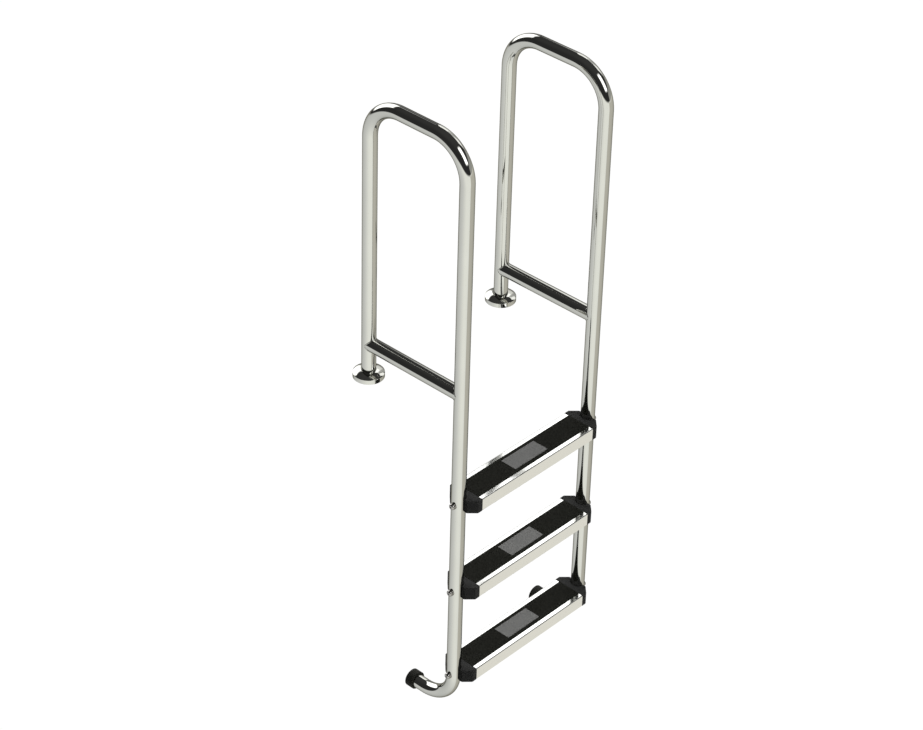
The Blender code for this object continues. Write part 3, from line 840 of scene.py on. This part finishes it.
def patch_mesh():
    """A thin pad whose top is rough with grit and drops a little at its edges."""
    across = lines(-PATCH_HALF.x, PATCH_HALF.x, PATCH_GRAIN)
    along = lines(-PATCH_HALF.y, PATCH_HALF.y, PATCH_GRAIN)
    mesh = bmesh.new()
    rows = []
    for x in across:
        row = []
        for y in along:
            grit = noise.noise(Vector((x, y, 0)) / (PATCH_GRIT_SIZE * PATCH_GRAIN)) * PATCH_ROUGHNESS
            edge = min(PATCH_HALF.x - abs(x), PATCH_HALF.y - abs(y))
            drop = PATCH_ROUGHNESS * (PATCH_EDGE_DROP if edge < PATCH_GRAIN / 2 else PATCH_MIDDLE_DROP)
            row.append(mesh.verts.new((x, y, PATCH_TOP - drop + grit / 2)))
        rows.append(row)
    for row, other in zip(rows, rows[1:]):
        for index in range(len(along) - 1):
            mesh.faces.new((row[index], other[index], other[index + 1], row[index + 1]))
    bottom = bmesh.ops.extrude_face_region(mesh, geom=list(mesh.faces), use_keep_orig=True)["geom"]
    bottom_faces = [item for item in bottom if isinstance(item, bmesh.types.BMFace)]
    for item in bottom:
        if isinstance(item, bmesh.types.BMVert):
            item.co.z = PATCH_TOP - PATCH_THICKNESS
    bmesh.ops.dissolve_faces(mesh, faces=bottom_faces)
    bmesh.ops.recalc_face_normals(mesh, faces=mesh.faces)
    return mesh


def cap_outline():
    """The plan of an end cap: square to the tray, then chamfered, with arms around half the post."""
    face = TRAY_HALF_LENGTH + FIT_GAP
    side = TRAY_HALF_WIDTH
    chamfer_x = HALF_SPACING - (side - CAP_ARM_REACH) / math.tan(math.radians(CAP_CHAMFER_DEGREES))
    tangent = CAP_CORNER_RADIUS * math.tan(math.radians(CAP_CHAMFER_DEGREES) / 2)
    corner = (chamfer_x - tangent, CAP_CORNER_RADIUS - side)
    front = [(face, -side)] + arc(corner, CAP_CORNER_RADIUS, -90, -CAP_CHAMFER_DEGREES)
    front += [(HALF_SPACING, -CAP_ARM_REACH)]
    back = [(x, -y) for x, y in reversed(front)]
    return front + arc((HALF_SPACING, 0), SEAT_RADIUS, -90, -270, TUBE_SEGMENTS // 2) + back


def cap_object():
    """The right end cap: a rounded body, and a hollow plug with the bolt's bore and a slot for the nut."""
    inside = TRAY_SHEET + PLUG_CLEARANCE
    plug_end = TRAY_HALF_LENGTH - PLUG_LENGTH
    plug_side = TRAY_HALF_WIDTH - inside
    plug_top = TRAY_TOP - inside
    plug_bottom = TRAY_BOTTOM + inside
    body = round_edges(prism(cap_outline(), CAP_BOTTOM, CAP_TOP - CAP_BOTTOM), CAP_EDGE_RADIUS)
    cap = place_mesh("cap", body)
    plug = box((plug_end, -plug_side, plug_bottom), (TRAY_HALF_LENGTH + CUT_MARGIN, plug_side, plug_top))
    steps = [("UNION", plug)]
    for sign in (-1, 1):
        near = sign * PLUG_BOSS_HALF_WIDTH
        far = sign * (plug_side - PLUG_WALL)
        low = (plug_end - CUT_MARGIN, min(near, far), plug_bottom + PLUG_WALL)
        high = (TRAY_HALF_LENGTH - PLUG_WALL, max(near, far), plug_top - PLUG_WALL)
        steps.append(("DIFFERENCE", box(low, high)))
    bore = turn(cylinder(BOLT_RADIUS + BOLT_CLEARANCE, plug_end - CUT_MARGIN, HALF_SPACING), "Y")
    steps.append(("DIFFERENCE", shift(bore, (0, 0, BOLT_Z))))
    slot_side = NUT_ACROSS_FLATS / 2 + NUT_POCKET_CLEARANCE
    slot_top = BOLT_Z + NUT_ACROSS_FLATS / math.sqrt(3) + NUT_POCKET_CLEARANCE
    slot_low = (NUT_START - NUT_POCKET_CLEARANCE, -slot_side, plug_bottom - CUT_MARGIN)
    slot_high = (NUT_START + NUT_THICKNESS + NUT_POCKET_CLEARANCE, slot_side, slot_top)
    steps.append(("DIFFERENCE", box(slot_low, slot_high)))
    combine(cap, steps)
    return cap


def shank_rings():
    """The bolt's shank from its tip up to the head, with a rolled thread over its last stretch."""
    rings = []
    for step in range(round(THREAD_LENGTH / THREAD_PITCH * THREAD_STEPS) + 1):
        height = step * THREAD_PITCH / THREAD_STEPS
        taper = min(1, height / THREAD_PITCH)
        ring = []
        for index in range(HARDWARE_SEGMENTS):
            angle = FULL_TURN * index / HARDWARE_SEGMENTS
            phase = (height / THREAD_PITCH - index / HARDWARE_SEGMENTS) % 1
            groove = THREAD_DEPTH * abs(2 * phase - 1)
            radius = BOLT_RADIUS - groove - (1 - taper) * THREAD_DEPTH
            ring.append((radius * math.cos(angle), radius * math.sin(angle), height - BOLT_LENGTH))
        rings.append(ring)
    return rings


def bolt_object():
    """A domed bolt along X at the right end of a tread, with a hexagon socket in its head."""
    circle = arc((0, 0), 1, 0, 360, HARDWARE_SEGMENTS)[:-1]
    profile = [(BOLT_RADIUS, THREAD_LENGTH + THREAD_DEPTH - BOLT_LENGTH), (BOLT_RADIUS, 0)]
    profile += [(BOLT_HEAD_RADIUS - BOLT_HEAD_CHAMFER, 0), (BOLT_HEAD_RADIUS, BOLT_HEAD_CHAMFER)]
    crown = BOLT_HEAD_HEIGHT - BOLT_HEAD_EDGE
    for step in range(2 * ROUND_STEPS + 1):
        angle = QUARTER_TURN * step / (2 * ROUND_STEPS)
        radius = BOLT_HEAD_FLAT_RADIUS + (BOLT_HEAD_RADIUS - BOLT_HEAD_FLAT_RADIUS) * math.cos(angle)
        profile.append((radius, BOLT_HEAD_EDGE + crown * math.sin(angle)))
    rings = shank_rings()
    rings += [[(x * radius, y * radius, height) for x, y in circle] for radius, height in profile]
    place = (BOLT_HEAD_START, 0, BOLT_Z)
    bolt = place_mesh("bolt", shift(turn(skin(rings), "Y"), place))
    socket_floor = BOLT_HEAD_HEIGHT - BOLT_SOCKET_DEPTH
    socket = hexagon(BOLT_SOCKET_ACROSS_FLATS, socket_floor, BOLT_HEAD_HEIGHT + HARDWARE_CUT_MARGIN)
    combine(bolt, [("DIFFERENCE", shift(turn(socket, "Y"), place))])
    return bolt


def washer_object():
    """A round washer whose underside is cut to the curve of the post."""
    bore = BOLT_RADIUS + BOLT_CLEARANCE
    deep = -(WASHER_THICKNESS + WASHER_SKIRT)
    edge = WASHER_EDGE_RADIUS
    profile = [(bore, deep), (WASHER_RADIUS, deep)]
    profile += arc((WASHER_RADIUS - edge, -edge), edge, 0, 90, LIP_STEPS) + [(bore, 0)]
    blank = turn(turned(profile, HARDWARE_SEGMENTS, loop=True), "Y")
    washer = place_mesh("washer", shift(blank, (BOLT_HEAD_START - FIT_GAP, 0, BOLT_Z)))
    post = cylinder(SEAT_RADIUS, BOLT_Z - 2 * WASHER_RADIUS, BOLT_Z + 2 * WASHER_RADIUS, TURNED_SEGMENTS)
    combine(washer, [("DIFFERENCE", shift(post, (HALF_SPACING, 0, 0)))])
    return washer


def nut_object():
    """A hexagon nut with its corners turned off on both faces."""
    corner = NUT_ACROSS_FLATS / math.sqrt(3)
    flat = NUT_ACROSS_FLATS / 2 - NUT_FACE_INSET
    drop = (corner - flat) * math.tan(math.radians(NUT_CORNER_DEGREES))
    place = (NUT_START, 0, BOLT_Z)
    nut = place_mesh("nut", shift(turn(hexagon(NUT_ACROSS_FLATS, 0, NUT_THICKNESS), "Y"), place))
    barrel = turned([(flat, 0), (corner, drop), (corner, NUT_THICKNESS - drop), (flat, NUT_THICKNESS)])
    margin = HARDWARE_CUT_MARGIN
    bore = cylinder(BOLT_RADIUS + BOLT_CLEARANCE, -margin, NUT_THICKNESS + margin)
    combine(nut, [
        ("INTERSECT", shift(turn(barrel, "Y"), place)),
        ("DIFFERENCE", shift(turn(bore, "Y"), place)),
    ])
    return nut


def add_treads():
    """Each kind of piece is made once, then copied to every tread, and to the left end by half a turn."""
    middles = {
        # The trays keep the polished_steel slot but get the brightened steel: painted light on their tops and
        # fronts.
        "tray": (place_mesh("tray", tray_mesh()), "polished_steel", "painted_light_tray_steel"),
        "mat": (place_mesh("mat", mat_mesh()), "black_rubber", "black_rubber"),
        "centre_patch": (place_mesh("patch", patch_mesh()), "grey_grip", "grey_grip"),
    }
    ends = {
        "end_cap": (cap_object(), "black_plastic", "black_plastic"),
        # Bolts and washers keep the satin_steel slot but get the darkened steel: painted shade.
        "bolt": (bolt_object(), "satin_steel", "painted_shade_bolt_steel"),
        "saddle_washer": (washer_object(), "satin_steel", "painted_shade_bolt_steel"),
        "nut": (nut_object(), "satin_steel", "satin_steel"),
    }
    sources = [source for source, _, _ in [*middles.values(), *ends.values()]]
    for source in sources:
        shade(source)
    for number in TREADS:
        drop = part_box(f"tread_{number}_mat")[1].z - TREAD_ORIGIN.z
        place = TREAD_ORIGIN + Vector((0, 0, drop))
        for kind, (source, slot, material) in middles.items():
            item = copy_to(source, f"step_{number}_{kind}", place)
            dress(item, slot, f"tread_{number}_{kind}", material=material)
        for kind, (source, slot, material) in ends.items():
            for side, sign in SIDES.items():
                item = copy_to(source, f"step_{number}_{side}_{kind}", place, 0 if sign > 0 else math.pi)
                dress(item, slot, f"tread_{number}_{side}_{kind}", material=material)
    for source in sources:
        bpy.data.objects.remove(source)


# ---------------------------------------------------------------- studio
def heading(azimuth, elevation=0.0):
    """The direction at degrees from +Y towards +X and degrees up."""
    level = math.cos(math.radians(elevation))
    up = math.sin(math.radians(elevation))
    turned_by = math.radians(azimuth)
    return Vector((math.sin(turned_by) * level, math.cos(turned_by) * level, up))


def add_camera():
    camera = bpy.data.objects.new("camera", bpy.data.cameras.new("camera"))
    camera.data.lens = CAMERA_LENS
    camera.data.sensor_width = SENSOR_WIDTH
    level = heading(-CAMERA_AZIMUTH, -CAMERA_ELEVATION).to_track_quat("-Z", "Y").to_matrix()
    roll = Matrix.Rotation(math.radians(CAMERA_ROLL), 3, "Z")
    camera.matrix_world = Matrix.LocRotScale(Vector(CAMERA_PLACE), (level @ roll).to_quaternion(), None)
    bpy.context.scene.collection.objects.link(camera)
    bpy.context.scene.camera = camera


def add_backdrop():
    """A plain white floor, and a plain white dome far around it."""
    floor = bmesh.new()
    bmesh.ops.create_grid(floor, x_segments=1, y_segments=1, size=BACKDROP_RADIUS)
    dome = bmesh.new()
    bmesh.ops.create_uvsphere(dome, u_segments=DOME_SEGMENTS, v_segments=DOME_RINGS, radius=BACKDROP_RADIUS)
    white = bpy.data.materials.new("backdrop")
    shader = Nodes(white, "Principled BSDF").shader.inputs
    shader["Base Color"].default_value = (0, 0, 0, 1)
    shader["Specular IOR Level"].default_value = 0
    shader["Emission Color"].default_value = (1, 1, 1, 1)
    shader["Emission Strength"].default_value = BACKDROP_LIGHT
    shift(floor, (0, 0, cad_low.z - FLOOR_DROP))
    for name, mesh in (("floor", floor), ("dome", dome)):
        item = place_mesh(name, mesh)
        item.data.materials.append(white)
        # The light comes from the world, so the backdrop neither lights the ladder nor shows in its steel.
        item.visible_diffuse = False
        item.visible_glossy = False
        item.visible_transmission = False
        item.visible_shadow = False


def panel(nodes, direction, azimuth, elevation, half_width, half_height, softness):
    """A number that is 1 on a flat panel of light that faces the ladder, and 0 around it."""
    centre = heading(azimuth, elevation)
    right = heading(azimuth + 90)
    depth = nodes.calculate("MAXIMUM", nodes.along(direction, centre), PANEL_NEAREST)
    inside = nodes.rise(depth, 0.0, PANEL_FADE)
    for axis, reach in ((right, half_width), (right.cross(centre), half_height)):
        offset = nodes.calculate("DIVIDE", nodes.along(direction, axis), depth)
        offset = nodes.calculate("ABSOLUTE", offset)
        within = nodes.rise(offset, reach + softness, reach - softness)
        inside = nodes.calculate("MULTIPLY", inside, within)
    return inside


def add_studio():
    """A dim room over a pale floor, with panels of light around the ladder."""
    world = bpy.data.worlds.new("studio")
    bpy.context.scene.world = world
    nodes = Nodes(world, "Background")
    direction = nodes.add("ShaderNodeTexCoord").outputs["Generated"]
    up = nodes.along(direction, (0, 0, 1))
    light = nodes.mix(nodes.rise(up, CEILING_START, 1.0), ROOM_WALL, ROOM_CEILING)
    for azimuth, elevation, half_width, half_height, softness, colour in PANELS:
        inside = panel(nodes, direction, azimuth, elevation, half_width, half_height, softness)
        light = nodes.mix(inside, light, colour)
    toward_bright = nodes.along(direction, heading(FLOOR_BRIGHT_AZIMUTH))
    bright = nodes.calculate("MULTIPLY_ADD", toward_bright, FLOOR_BRIGHT_GAIN, FLOOR_BRIGHT_BASE)
    bright.node.use_clamp = True
    bright = nodes.calculate("MULTIPLY", bright, bright)
    floor = nodes.mix(bright, FLOOR_DIM, FLOOR_BRIGHT)
    toward_warm = nodes.along(direction, heading(FLOOR_WARM_AZIMUTH))
    warm = nodes.rise(toward_warm, -FLOOR_WARM_SOFTNESS, FLOOR_WARM_SOFTNESS)
    floor = nodes.mix(warm, floor, FLOOR_WARM)
    toward_low = nodes.along(direction, heading(HORIZON_LOW_AZIMUTH))
    drop = nodes.rise(toward_low, HORIZON_LOW_START, 1.0)
    drop = nodes.calculate("MULTIPLY_ADD", drop, HORIZON_DROP, HORIZON_UP)
    height = nodes.calculate("ADD", up, drop)
    matt = nodes.add("ShaderNodeLightPath").outputs["Is Diffuse Ray"]
    shaded = nodes.mix(nodes.calculate("MULTIPLY", matt, 1 - FLOOR_DIFFUSE_SHARE), floor, (0, 0, 0))
    light = nodes.mix(nodes.rise(height, HORIZON_SOFTNESS, -HORIZON_SOFTNESS), light, shaded)
    nodes.link(light, nodes.shader.inputs["Color"])


add_camera()
add_rails()
add_base_plates()
add_flange_covers()
add_bumpers()
add_treads()
add_backdrop()
add_studio()
bpy.context.scene.view_settings.view_transform = "Standard"
